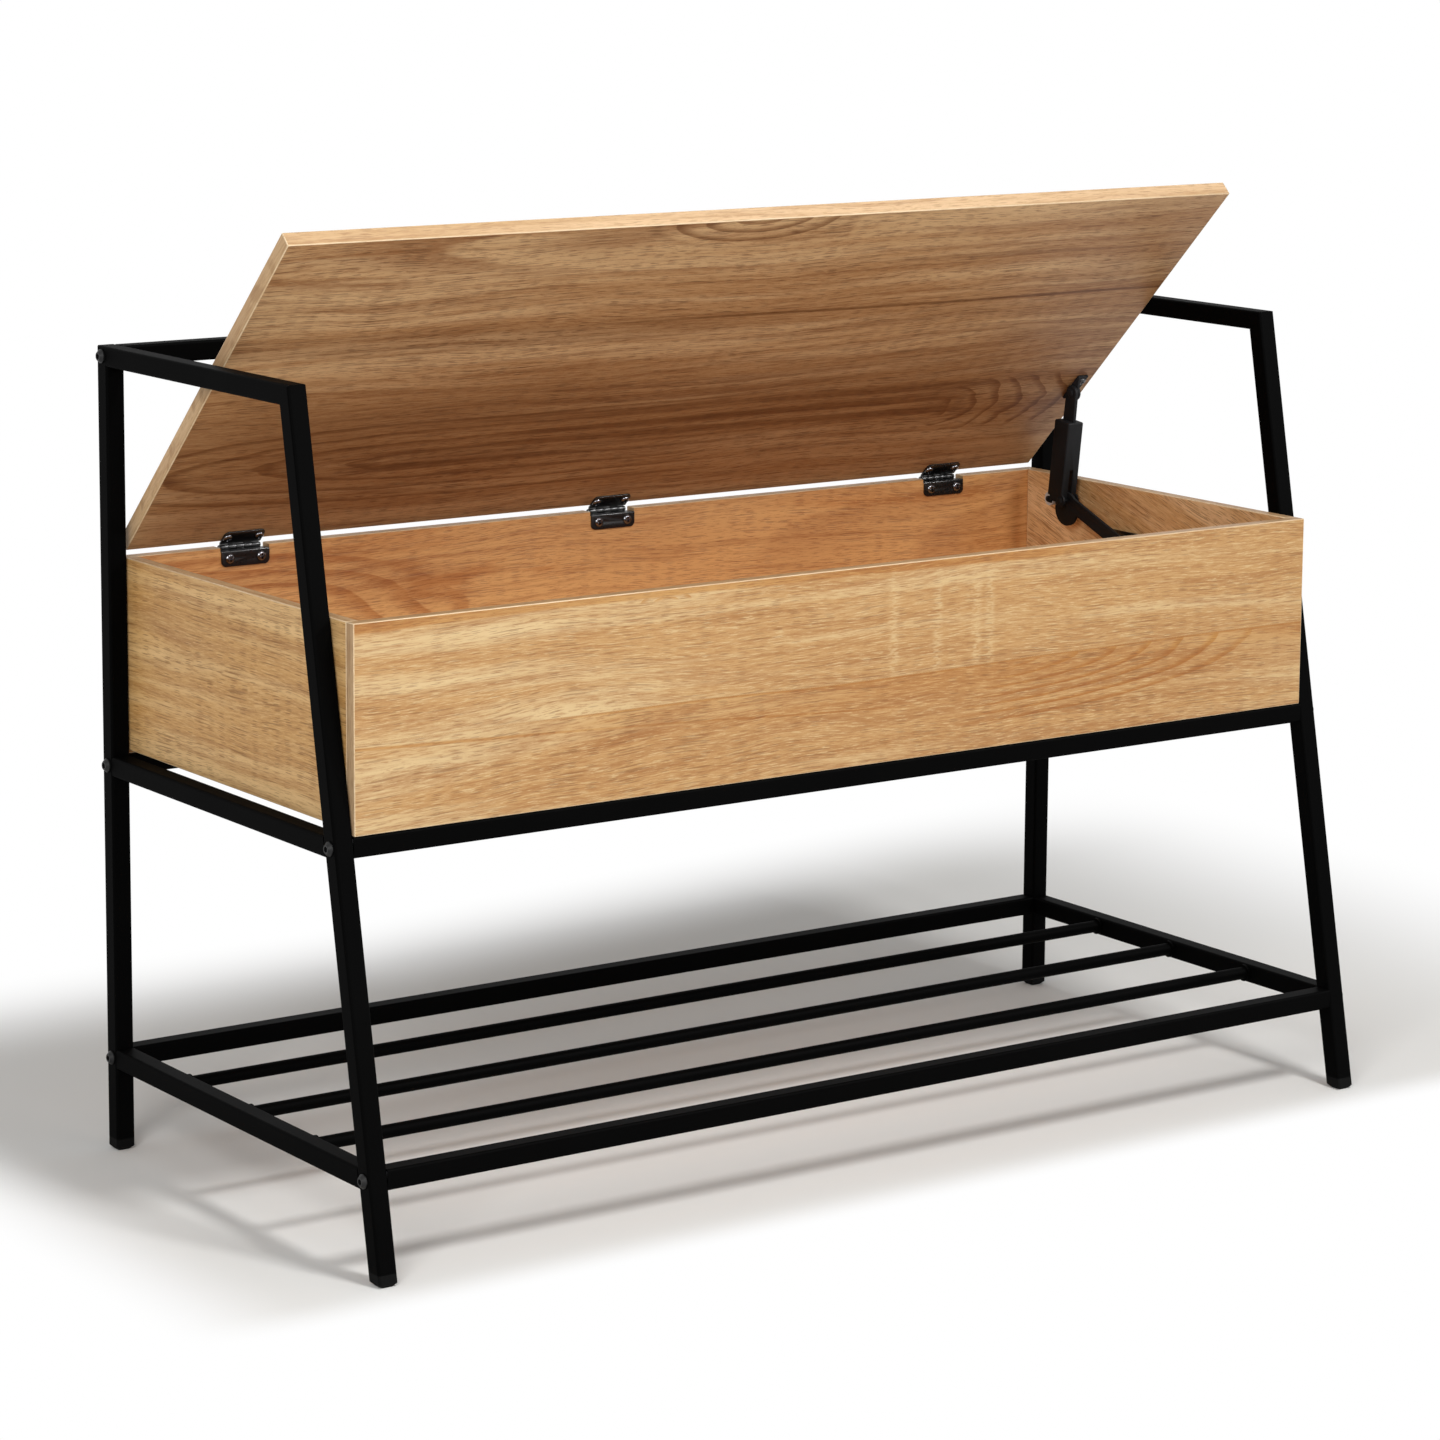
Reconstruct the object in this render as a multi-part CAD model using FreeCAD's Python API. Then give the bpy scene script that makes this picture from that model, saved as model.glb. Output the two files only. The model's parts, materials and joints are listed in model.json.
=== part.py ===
import FreeCAD, Part
import math
import os

# A shoe storage bench. Two welded side frames of square tube carry rails that are bolted between them,
# a low shelf of round rods and a wooden box whose hinged lid is the seat. The lid stands open on a stay.
# Millimetres. +X is to the right of somebody who faces the bench, +Y to its back and +Z up. The origin
# is on the floor, under the middle of the whole bench with its lid open.

Vec = FreeCAD.Vector
AXIS_X = Vec(1, 0, 0)
AXIS_Y = Vec(0, 1, 0)
AXIS_Z = Vec(0, 0, 1)

# Frame
length = 900.0
depth = 400.0
height = 610.0
tube = 15.0
tube_wall = 1.2
tube_corner = 2.0
front_leg_setback = 117.5
lower_rail_top = 79.0
middle_rail_top = 303.5
foot_height = 9.0
foot_bevel = 2.5
spigot_length = 14.0
rod_radius = 5.0
rod_count = 3
socket_radius = 6.8
socket_length = 2.0

# Bolts through the legs, and the threaded plugs in the rails that they reach
bolt_radius = 3.0
bolt_head_radius = 5.2
bolt_head_rise = 3.2
bolt_length = 27.0
bolt_slack = 0.2
hexagon_radius = 2.3
hexagon_depth = 2.0
plug_length = 16.0

# Box
box_length = 868.0
box_depth = 342.0
box_top = 452.0
board = 10.0
side_board_lift = 3.0
bottom_board = 6.0
bottom_lift = 8.0
groove_depth = 3.0
dowel_radius = 3.0
dowel_length = 27.0
dowel_in_face = 7.0
dowels_per_joint = 3
box_screw_radius = 1.75
box_screw_head_radius = 3.0
box_screw_head_rise = 2.0
box_screw_bite = 18.0
screw_access_radius = 3.6

# Lid and hinges
open_angle = 45.0
lid_length = 860.0
lid_depth = 348.0
lid_thickness = 12.0
lid_gap = 0.5
lid_setback = 5.5
axis_inset = 1.0
axis_below_box_top = 1.5
edge_round = 0.6
hinge_spacing = 333.0
leaf = 1.2
box_leaf_width = 41.0
lid_leaf_width = 35.0
box_leaf_drop = 12.0
lid_leaf_reach = 17.0
leaf_corner = 4.0
notch_slack = 0.5
knuckle_width = 33.0
knuckle_count = 5
knuckle_radius = 2.5
knuckle_gap = 0.3
leaf_clearance = 0.4
pin_radius = 1.2
running_gap = 0.05
screw_spacing = 27.0
screw_head_radius = 3.8
screw_head_rise = 1.5
screw_radius = 1.5
screw_length = 8.0

# Lid stay: pivots as distances in front of the frame's back and heights above the floor
stay_x = 410.0
base_pivot_in = 150.0
base_pivot_height = 407.0
elbow_in = 79.5
elbow_height = 435.0
lid_pivot_in = 83.5
lid_pivot_height = 525.5
link_lean = 7.0
plate = 2.0
arm_thickness = 2.5
arm_width = 12.0
arm_end_radius = 6.5
cam_radius = 14.0
cam_drop = 7.3
rivet_radius = 2.0
rivet_head_radius = 3.6
rivet_head_rise = 1.2
side_gap = 0.35
housing_width = 16.0
housing_depth = 18.0
housing_wall = 1.4
housing_top = -23.5
housing_bottom = -88.0
housing_slot_top = -64.0
elbow_lug_radius = 5.5
roller_lug_radius = 2.4
roller_offset = 16.0
roller_radius = 5.7
roller_clearance = 0.3
roller_width = 12.4
roller_pin_radius = 1.5
upper_arm_thickness = 3.0
upper_arm_half_width = 6.2
upper_arm_root_half_width = 7.0
upper_arm_end = -45.0
bracket_length = 28.0
bracket_reach = 10.0
base_plate_front = 160.0
base_plate_back = 118.0
base_plate_height = 25.0

# Places worked out from the sizes above
box_bottom = middle_rail_top
lid_under = box_top + lid_gap
axis_z = box_top - axis_below_box_top


def turned(y, z, degrees):
    """The offset y, z turned about +X."""
    angle = math.radians(degrees)
    return y * math.cos(angle) - z * math.sin(angle), y * math.sin(angle) + z * math.cos(angle)


lid_overhang = turned(-lid_setback, lid_under + lid_thickness - axis_z, -open_angle)[0] - axis_inset
rear_y = (depth - lid_overhang) / 2
front_y = rear_y - depth
axis_y = rear_y - axis_inset
leg_x = (length - tube) / 2
inner_x = length / 2 - tube
lean = math.atan(front_leg_setback / height)
leg_width_along_y = tube / math.cos(lean)
rear_centre_y = rear_y - tube / 2
lower_z = lower_rail_top - tube / 2
middle_z = middle_rail_top - tube / 2
top_z = height - tube / 2
box_half = box_length / 2
box_front_y = rear_y - box_depth
rear_board_inner_y = rear_y - board
front_board_inner_y = box_front_y + board
notch_floor = axis_z - knuckle_radius
hinge_screw_z = notch_floor + leaf - box_leaf_drop / 2
hinge_places = {"left": -hinge_spacing, "middle": 0.0, "right": hinge_spacing}


def front_centre_y(z):
    """The front leg's centre line, seen from the side."""
    return front_y + leg_width_along_y / 2 + z * math.tan(lean)


def block(x0, x1, y0, y1, z0, z1):
    return Part.makeBox(x1 - x0, y1 - y0, z1 - z0, Vec(x0, y0, z0))


def round_bar(x0, x1, y, z, radius):
    """A cylinder along X."""
    return Part.makeCylinder(radius, x1 - x0, Vec(x0, y, z), AXIS_X)


def edges_along(shape, axis):
    return [e for e in shape.Edges if abs(e.tangentAt(e.FirstParameter).dot(axis)) > 0.999]


def placed(shape, point, direction):
    """The shape, built up +Z from the origin, stood at a point along a direction."""
    moved = shape.copy()
    moved.Placement = FreeCAD.Placement(point, FreeCAD.Rotation(AXIS_Z, direction))
    return moved


def cut_beyond(shape, point, normal):
    """Takes away what lies beyond a plane, on the side that its normal points to."""
    size = 3 * length
    waste = Part.makeBox(size, size, size, Vec(-size / 2, -size / 2, 0))
    return shape.cut(placed(waste, point, normal))


def tube_between(start, end):
    """A hollow square tube with rounded corners."""
    run = end - start
    half = tube / 2
    bore = half - tube_wall
    outside = block(-half, half, -half, half, 0, run.Length)
    inside = block(-bore, bore, -bore, bore, 0, run.Length)
    outside = outside.makeFillet(tube_corner, edges_along(outside, AXIS_Z))
    inside = inside.makeFillet(tube_corner - tube_wall, edges_along(inside, AXIS_Z))
    return placed(outside.cut(inside), start, run)


def save(name, shape):
    shape.exportStep("parts/" + name + ".step")


# Fasteners, built with the seat of the head at the origin and the head up +Z
def low_head(radius, rise):
    """A low round head with a sloped shoulder."""
    outline = Part.makePolygon([Vec(0, 0, 0), Vec(radius, 0, 0), Vec(radius, 0, rise * 0.3),
                                Vec(radius * 0.6, 0, rise), Vec(0, 0, rise), Vec(0, 0, 0)])
    return Part.Face(outline).revolve(Vec(0, 0, 0), AXIS_Z, 360)


def shank(radius, reach):
    return Part.makeCylinder(radius, reach, Vec(0, 0, -reach), AXIS_Z)


def hexagon_bolt():
    corners = []
    for i in range(7):
        angle = math.radians(60 * i)
        corners.append(Vec(hexagon_radius * math.cos(angle), hexagon_radius * math.sin(angle),
                           bolt_head_rise - hexagon_depth))
    socket = Part.Face(Part.makePolygon(corners)).extrude(AXIS_Z * bolt_head_rise)
    return low_head(bolt_head_radius, bolt_head_rise).cut(socket).fuse(shank(bolt_radius, bolt_length))


def pan_screw(head_radius, rise, radius, reach):
    return low_head(head_radius, rise).fuse(shank(radius, reach))


def rivet(radius, x0, x1, y, z):
    """A rivet along X with a head outside each end of its grip."""
    body = round_bar(x0, x1, y, z, radius)
    left = placed(low_head(rivet_head_radius, rivet_head_rise), Vec(x0, y, z), -AXIS_X)
    right = placed(low_head(rivet_head_radius, rivet_head_rise), Vec(x1, y, z), AXIS_X)
    return body.fuse([left, right])


# The rails that run across the bench, by the y and z of their centre lines. A bolt goes into each end.
rails = {
    "rear_top_rail": (rear_centre_y, top_z),
    "rear_middle_rail": (rear_centre_y, middle_z),
    "rear_lower_rail": (rear_centre_y, lower_z),
    "front_middle_rail": (front_centre_y(middle_z), middle_z),
    "front_lower_rail": (front_centre_y(lower_z), lower_z),
}


def drilled(shape, x):
    """A tube of the side frame with the bolt holes that fall in it."""
    for y, z in rails.values():
        shape = shape.cut(round_bar(x - tube, x + tube, y, z, bolt_radius + bolt_slack))
    return shape


def side_frame(x):
    """The five welded tubes of one end: upright, leaning leg, and three rails with mitred top corners."""
    low = Vec(x, rear_centre_y, foot_height)
    rear_leg = tube_between(low, Vec(x, rear_centre_y, height))
    front_low = Vec(x, front_centre_y(0), 0)
    front_high = Vec(x, front_centre_y(height + tube), height + tube)
    front_leg = cut_beyond(tube_between(front_low, front_high), Vec(x, 0, foot_height), -AXIS_Z)
    top_rail = tube_between(Vec(x, front_y, top_z), Vec(x, rear_y, top_z))

    # The mitre planes run from the outer to the inner corner of each joint
    rear_mitre = Vec(0, 1, -1)
    rear_corner = Vec(x, rear_y, height)
    front_corner = Vec(x, front_y + front_leg_setback, height)
    inner_corner = Vec(x, front_centre_y(height - tube) + leg_width_along_y / 2, height - tube)
    seam = inner_corner - front_corner
    front_mitre = AXIS_X.cross(seam)
    rear_leg = cut_beyond(rear_leg, rear_corner, -rear_mitre)
    top_rail = cut_beyond(top_rail, rear_corner, rear_mitre)
    front_leg = cut_beyond(front_leg, front_corner, front_mitre)
    top_rail = cut_beyond(top_rail, front_corner, -front_mitre)

    frame = {
        "rear_leg": drilled(rear_leg, x),
        "front_leg": drilled(front_leg, x),
        "top_rail": drilled(top_rail, x),
    }
    leg_back = Vec(0, math.cos(lean), -math.sin(lean))
    for name, z in (("middle_rail", middle_z), ("lower_rail", lower_z)):
        rail = tube_between(Vec(x, front_y, z), Vec(x, rear_y - tube, z))
        on_leg = Vec(x, front_centre_y(z) + leg_width_along_y / 2, z)
        frame[name] = cut_beyond(rail, on_leg, -leg_back)
    return frame


def level_section(x, y, z, a, b, radius):
    """A level rectangle with rounded corners."""
    slab = block(x - a / 2, x + a / 2, y - b / 2, y + b / 2, z, z + 1)
    slab = slab.makeFillet(radius, edges_along(slab, AXIS_Z))
    return min(slab.Faces, key=lambda face: face.CenterOfMass.z).OuterWire


def foot_cap(x, centre_y, along_y):
    """A plastic cap under a leg, bevelled at the floor, with a spigot up the tube."""
    outer = []
    for z, inset in ((0, foot_bevel), (foot_bevel, 0), (foot_height, 0)):
        outer.append(level_section(x, centre_y(z), z, tube - 2 * inset, along_y - 2 * inset, tube_corner))
    spigot = []
    trim = 2 * tube_wall + 0.2
    for z in (foot_height - 1, foot_height + spigot_length):
        inner_corner = tube_corner - tube_wall
        spigot.append(level_section(x, centre_y(z), z, tube - trim, along_y - trim, inner_corner))
    return Part.makeLoft(outer, True, True).fuse(Part.makeLoft(spigot, True, True))


def make_frame():
    bolts = []
    plugs = []
    for side, sign in (("left", -1), ("right", 1)):
        for name, shape in side_frame(sign * leg_x).items():
            save(side + "_" + name, shape)
        save(side + "_rear_foot", foot_cap(sign * leg_x, lambda z: rear_centre_y, tube))
        save(side + "_front_foot", foot_cap(sign * leg_x, front_centre_y, leg_width_along_y))
        for y, z in rails.values():
            bolts.append(placed(hexagon_bolt(), Vec(sign * length / 2, y, z), AXIS_X * sign))
            ends = sorted((sign * (inner_x - plug_length), sign * inner_x))
            half = tube / 2 - tube_wall
            plug = block(ends[0], ends[1], y - half, y + half, z - half, z + half)
            plug = plug.makeChamfer(tube_corner - tube_wall, edges_along(plug, AXIS_X))
            plugs.append(plug.cut(round_bar(ends[0], ends[1], y, z, bolt_radius + running_gap)))
    save("leg_bolts", Part.makeCompound(bolts))
    save("rail_plugs", Part.makeCompound(plugs))
    for name, (y, z) in rails.items():
        rail = tube_between(Vec(-inner_x, y, z), Vec(inner_x, y, z))
        for x, screw_y, rail_name in box_screw_places():
            if name == rail_name:
                under = Vec(x, screw_y, z - tube / 2)
                access = Part.makeCylinder(screw_access_radius, tube / 2, under, AXIS_Z)
                rail = rail.cut([access, Part.makeCylinder(box_screw_radius, tube, under, AXIS_Z)])
        save(name, rail)


def make_shelf():
    """The rods lie level with the lower rails and divide the shelf evenly."""
    front = front_centre_y(lower_z)
    pitch = (rear_centre_y - front) / (rod_count + 1)
    sockets = []
    for i, name in enumerate(("front", "middle", "rear")):
        y = front + pitch * (i + 1)
        save(name + "_shelf_rod", round_bar(-inner_x, inner_x, y, lower_z, rod_radius))
        for x0 in (-inner_x, inner_x - socket_length):
            ring = round_bar(x0, x0 + socket_length, y, lower_z, socket_radius)
            sockets.append(ring.cut(round_bar(x0, x0 + socket_length, y, lower_z, rod_radius)))
    save("rod_sockets", Part.makeCompound(sockets))


def box_screw_places():
    """Screws inside the middle rails that go up into the middle of the front and rear boards."""
    places = []
    for x in (-box_half * 0.75, 0.0, box_half * 0.75):
        places.append((x, box_front_y + board / 2, "front_middle_rail"))
        places.append((x, rear_y - board / 2, "rear_middle_rail"))
    return places


def hinge_screw_places(x):
    return x - screw_spacing / 2, x + screw_spacing / 2


def make_box():
    base = box_bottom + bottom_lift
    bottom = block(-box_half + board - groove_depth, box_half - board + groove_depth,
                   front_board_inner_y - groove_depth, rear_board_inner_y + groove_depth,
                   base, base + bottom_board)
    front = block(-box_half, box_half, box_front_y, front_board_inner_y, box_bottom, box_top)
    rear = block(-box_half, box_half, rear_board_inner_y, rear_y, box_bottom, box_top)
    sides = {}
    for side, x0 in (("left", -box_half), ("right", box_half - board)):
        sides[side] = block(x0, x0 + board, front_board_inner_y, rear_board_inner_y,
                            box_bottom + side_board_lift, box_top)

    # Blind dowels tie the side boards' ends to the front and rear boards
    dowels = []
    step = (box_top - base) / (dowels_per_joint + 1)
    for x in (-box_half + board / 2, box_half - board / 2):
        for i in range(dowels_per_joint):
            z = base + step * (i + 1)
            ahead = Vec(x, front_board_inner_y - dowel_in_face, z)
            behind = Vec(x, rear_board_inner_y + dowel_in_face - dowel_length, z)
            dowels.append(Part.makeCylinder(dowel_radius, dowel_length, ahead, AXIS_Y))
            dowels.append(Part.makeCylinder(dowel_radius, dowel_length, behind, AXIS_Y))

    box_screws = []
    for x, y, rail_name in box_screw_places():
        reach = tube_wall + box_screw_bite
        body = pan_screw(box_screw_head_radius, box_screw_head_rise, box_screw_radius, reach)
        box_screws.append(placed(body, Vec(x, y, box_bottom - tube_wall), -AXIS_Z))

    # Each hinge lies in a notch in the rear board's top, and its screws go into the inner face
    hinge_screws = []
    for x in hinge_places.values():
        half = box_leaf_width / 2 + notch_slack
        rear = rear.cut(block(x - half, x + half, rear_board_inner_y, rear_y, notch_floor, box_top))
        for screw_x in hinge_screw_places(x):
            body = pan_screw(screw_head_radius, screw_head_rise, screw_radius, screw_length)
            seat = Vec(screw_x, rear_board_inner_y - leaf, hinge_screw_z)
            hinge_screws.append(placed(body, seat, -AXIS_Y))

    base_screws = []
    for y, z in base_screw_places():
        body = pan_screw(screw_head_radius, screw_head_rise, screw_radius, screw_length)
        base_screws.append(placed(body, Vec(box_half - board - plate, y, z), -AXIS_X))

    fixings = dowels + box_screws + [bottom]
    save("box_front_board", front.cut(fixings))
    save("box_rear_board", rear.cut(fixings + hinge_screws))
    save("box_left_board", sides["left"].cut(fixings))
    save("box_right_board", sides["right"].cut(fixings + base_screws))
    save("box_bottom_board", bottom)
    save("board_dowels", Part.makeCompound(dowels))
    save("box_screws", Part.makeCompound(box_screws))
    save("hinge_box_screws", Part.makeCompound(hinge_screws))
    save("stay_base_screws", Part.makeCompound(base_screws))


def opened(shape):
    """A piece of the lid, built as it lies closed, swung up to where the stay holds it."""
    return shape.rotated(Vec(0, axis_y, axis_z), AXIS_X, -open_angle)


def knuckles(x, first):
    """Every other knuckle of a hinge: the start and end of each along X."""
    width = (knuckle_width - knuckle_gap * (knuckle_count - 1)) / knuckle_count
    spans = []
    for i in range(first, knuckle_count, 2):
        start = x - knuckle_width / 2 + i * (width + knuckle_gap)
        spans.append((start, start + width))
    return spans


def with_knuckles(sheet, x, first, z0):
    """Rolls a leaf's tongues, which lie at height z0, into its share of the knuckles."""
    for x0, x1 in knuckles(x, first):
        tongue = block(x0, x1, axis_y - knuckle_radius - 2 * leaf_clearance, axis_y, z0, z0 + leaf)
        sheet = sheet.fuse([tongue, round_bar(x0, x1, axis_y, axis_z, knuckle_radius)])
    bore = round_bar(x - knuckle_width, x + knuckle_width, axis_y, axis_z, pin_radius + running_gap)
    return sheet.cut(bore)


def make_hinges():
    back = axis_y - knuckle_radius - leaf_clearance
    top = notch_floor + leaf
    for name, x in hinge_places.items():
        half = box_leaf_width / 2
        drop = block(x - half, x + half, rear_board_inner_y - leaf, rear_board_inner_y,
                     top - box_leaf_drop, top)
        low = [e for e in edges_along(drop, AXIS_Y) if e.CenterOfMass.z < top - leaf]
        drop = drop.makeFillet(leaf_corner, low)
        flange = block(x - half, x + half, rear_board_inner_y - leaf, back, notch_floor, top)
        sheet = drop.fuse(flange).removeSplitter()
        bend = [e for e in edges_along(sheet, AXIS_X)
                if abs(e.CenterOfMass.z - top) < 0.01 and e.CenterOfMass.y < rear_board_inner_y - leaf / 2]
        sheet = with_knuckles(sheet.makeFillet(leaf * 0.8, bend), x, 0, notch_floor)
        for screw_x in hinge_screw_places(x):
            seat = Vec(screw_x, rear_board_inner_y - leaf, hinge_screw_z)
            sheet = sheet.cut(Part.makeCylinder(screw_radius, leaf, seat, AXIS_Y))
        save("hinge_box_leaf_" + name, sheet)

        half = lid_leaf_width / 2
        sheet = block(x - half, x + half, axis_y - lid_leaf_reach, back, lid_under - leaf, lid_under)
        fore = [e for e in edges_along(sheet, AXIS_Z) if e.CenterOfMass.y < axis_y - lid_leaf_reach / 2]
        sheet = with_knuckles(sheet.makeFillet(leaf_corner, fore), x, 1, lid_under - leaf)
        sheet = sheet.cut(lid_hinge_screws(x))
        save("hinge_lid_leaf_" + name, opened(sheet))

        pin = round_bar(x - knuckle_width / 2, x + knuckle_width / 2, axis_y, axis_z, pin_radius)
        ends = []
        for x0 in (x - knuckle_width / 2 - leaf, x + knuckle_width / 2):
            ends.append(round_bar(x0, x0 + leaf, axis_y, axis_z, pin_radius * 1.5))
        save("hinge_pin_" + name, pin.fuse(ends))


def lid_hinge_screws(x):
    screws = []
    for screw_x in hinge_screw_places(x):
        body = pan_screw(screw_head_radius, screw_head_rise, screw_radius, screw_length)
        point = Vec(screw_x, axis_y - lid_leaf_reach * 0.6, lid_under - leaf)
        screws.append(placed(body, point, -AXIS_Z))
    return screws


# The stay's pivots in the Y-Z plane. The link is the housing with its upper arm.
base_pivot = Vec(0, rear_y - base_pivot_in, base_pivot_height)
elbow = Vec(0, rear_y - elbow_in, elbow_height)
lid_pivot = Vec(0, rear_y - lid_pivot_in, lid_pivot_height)
closed_offset = turned(lid_pivot.y - axis_y, lid_pivot.z - axis_z, open_angle)
closed_lid_pivot = Vec(0, axis_y + closed_offset[0], axis_z + closed_offset[1])
arm_left = stay_x - arm_thickness / 2
arm_right = stay_x + arm_thickness / 2
upper_left = stay_x - upper_arm_thickness / 2
upper_right = stay_x + upper_arm_thickness / 2
cheek_left = stay_x - housing_width / 2
cheek_right = stay_x + housing_width / 2
roller_centre = elbow + Vec(0, roller_offset, 0)


def base_screw_places():
    """Two screws at the back of the base plate, clear of the arm."""
    z = base_pivot_height - base_plate_height / 2 + 8
    return [(rear_y - base_plate_back - 6, z), (rear_y - base_plate_back - 17, z)]


def lid_bracket_screws():
    screws = []
    x = upper_right + side_gap + plate + (bracket_reach - plate) / 2
    for y in (closed_lid_pivot.y - 8, closed_lid_pivot.y + 8):
        body = pan_screw(screw_head_radius, screw_head_rise, screw_radius, screw_length)
        screws.append(placed(body, Vec(x, y, lid_under - plate), -AXIS_Z))
    return screws


def make_lid():
    slab = block(-lid_length / 2, lid_length / 2, axis_y - lid_setback - lid_depth, axis_y - lid_setback,
                 lid_under, lid_under + lid_thickness)
    slab = slab.makeFillet(edge_round, edges_along(slab, AXIS_X) + edges_along(slab, AXIS_Y))
    screws = []
    for x in hinge_places.values():
        screws += lid_hinge_screws(x)
    save("lid_board", opened(slab.cut(screws + lid_bracket_screws())))
    save("hinge_lid_screws", opened(Part.makeCompound(screws)))


def leaned(shape):
    """A piece of the link, built upright below the lid pivot, leaned to its resting angle."""
    return shape.rotated(lid_pivot, AXIS_X, link_lean)


def link_point(world):
    """A resting point as an offset from the lid pivot in the upright link."""
    return turned(world.y - lid_pivot.y, world.z - lid_pivot.z, -link_lean)


def link_block(x0, x1, y0, y1, z0, z1):
    return block(x0, x1, lid_pivot.y + y0, lid_pivot.y + y1, lid_pivot.z + z0, lid_pivot.z + z1)


def link_bar(x0, x1, place, radius):
    return round_bar(x0, x1, lid_pivot.y + place[0], lid_pivot.z + place[1], radius)


def make_housing():
    """A channel open at the back, with lugs that hold the elbow rivet and the roller's pin."""
    half = housing_depth / 2
    body = link_block(cheek_left, cheek_right, -half, half, housing_bottom, housing_top)
    front = [e for e in edges_along(body, AXIS_Z) if e.CenterOfMass.y < lid_pivot.y]
    crown = [e for e in edges_along(body, AXIS_X) + edges_along(body, AXIS_Y)
             if e.CenterOfMass.z > lid_pivot.z + housing_top - housing_wall]
    body = body.makeFillet(housing_wall, front + crown)
    body = body.cut(link_block(cheek_left + housing_wall, cheek_right - housing_wall, -half + housing_wall,
                               half, housing_bottom, housing_top - housing_wall))
    elbow_place = link_point(elbow)
    roller_place = link_point(roller_centre)
    for x0 in (cheek_left, cheek_right - housing_wall):
        x1 = x0 + housing_wall
        bridge = link_block(x0, x1, elbow_place[0], roller_place[0] - roller_lug_radius,
                            roller_place[1], housing_bottom + 1)
        rear_lug = link_block(x0, x1, roller_place[0] - 2 * roller_lug_radius, roller_place[0],
                              roller_place[1] - roller_lug_radius, roller_place[1] + roller_lug_radius)
        body = body.fuse([link_bar(x0, x1, elbow_place, elbow_lug_radius), bridge, rear_lug,
                          link_bar(x0, x1, roller_place, roller_lug_radius)])
    gap = arm_thickness / 2 + 0.6
    arm_way = link_block(stay_x - gap, stay_x + gap, -half - 1, -half + 2 * housing_wall,
                         housing_bottom - 1, housing_slot_top)
    top_way = link_block(upper_left, upper_right, -upper_arm_root_half_width, upper_arm_root_half_width,
                         housing_top - 2 * housing_wall, housing_top + 1)
    body = body.cut([arm_way, top_way, link_bar(cheek_left, cheek_right, elbow_place, rivet_radius),
                     link_bar(cheek_left, cheek_right, roller_place, roller_pin_radius)])
    save("stay_housing", leaned(body))


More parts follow.
